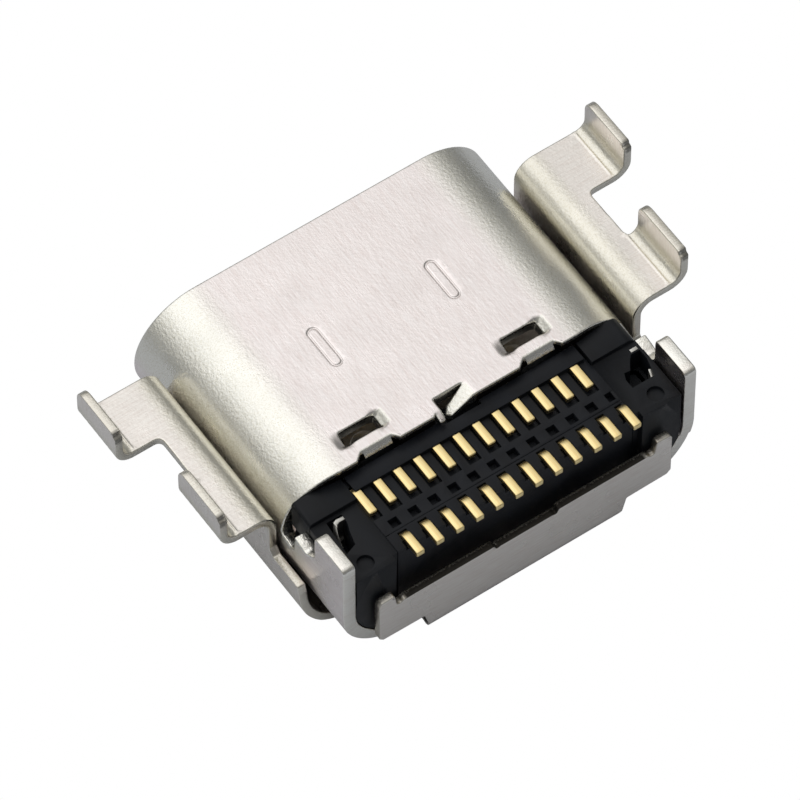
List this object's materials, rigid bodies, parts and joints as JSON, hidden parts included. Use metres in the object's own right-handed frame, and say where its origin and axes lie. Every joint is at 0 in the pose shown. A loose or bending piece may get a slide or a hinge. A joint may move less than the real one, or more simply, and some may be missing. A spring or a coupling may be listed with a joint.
{
  "type": "connector socket",
  "caption": "Flat-mounting reversible connector socket with a drawn oval shell, a sheet bracket with wings and up-bent legs, and two rows of solder tails.",
  "frame": {"origin": "middle of the resting face, under the centre of the bounding box", "axes": "+Z towards the circuit board that the socket is soldered to, +Y out of the mouth, X across the port"},
  "size_m": [0.0132, 0.008, 0.0039],
  "materials": {
    "shell_metal": "nickel-plated stainless sheet, rolled grain along the port",
    "bracket_metal": "nickel-plated stainless sheet with pebbled bends",
    "housing_plastic": "glass-filled moulded polymer, satin black",
    "wafer_plastic": "glass-filled moulded polymer, satin black",
    "tongue_plastic": "glass-filled moulded polymer, satin black",
    "inner_metal": "stamped stainless sheet",
    "collar_metal": "stamped stainless sheet",
    "contact_gold": "copper alloy strip with gold plating"
  },
  "bodies": {
    "root": {"shell": "shell_metal", "bracket": "bracket_metal", "housing": "housing_plastic", "tongue": "tongue_plastic", "upper_wafer": "wafer_plastic", "lower_wafer": "wafer_plastic", "mid_plate": "inner_metal", "collar_upper": "collar_metal", "collar_lower": "collar_metal", "contact_a1": "contact_gold", "contact_a2": "contact_gold", "contact_a3": "contact_gold", "contact_a4": "contact_gold", "contact_a5": "contact_gold", "contact_a6": "contact_gold", "contact_a7": "contact_gold", "contact_a8": "contact_gold", "contact_a9": "contact_gold", "contact_a10": "contact_gold", "contact_a11": "contact_gold", "contact_a12": "contact_gold", "contact_b1": "contact_gold", "contact_b2": "contact_gold", "contact_b3": "contact_gold", "contact_b4": "contact_gold", "contact_b5": "contact_gold", "contact_b6": "contact_gold", "contact_b7": "contact_gold", "contact_b8": "contact_gold", "contact_b9": "contact_gold", "contact_b10": "contact_gold", "contact_b11": "contact_gold", "contact_b12": "contact_gold"}
  },
  "joints": []
}
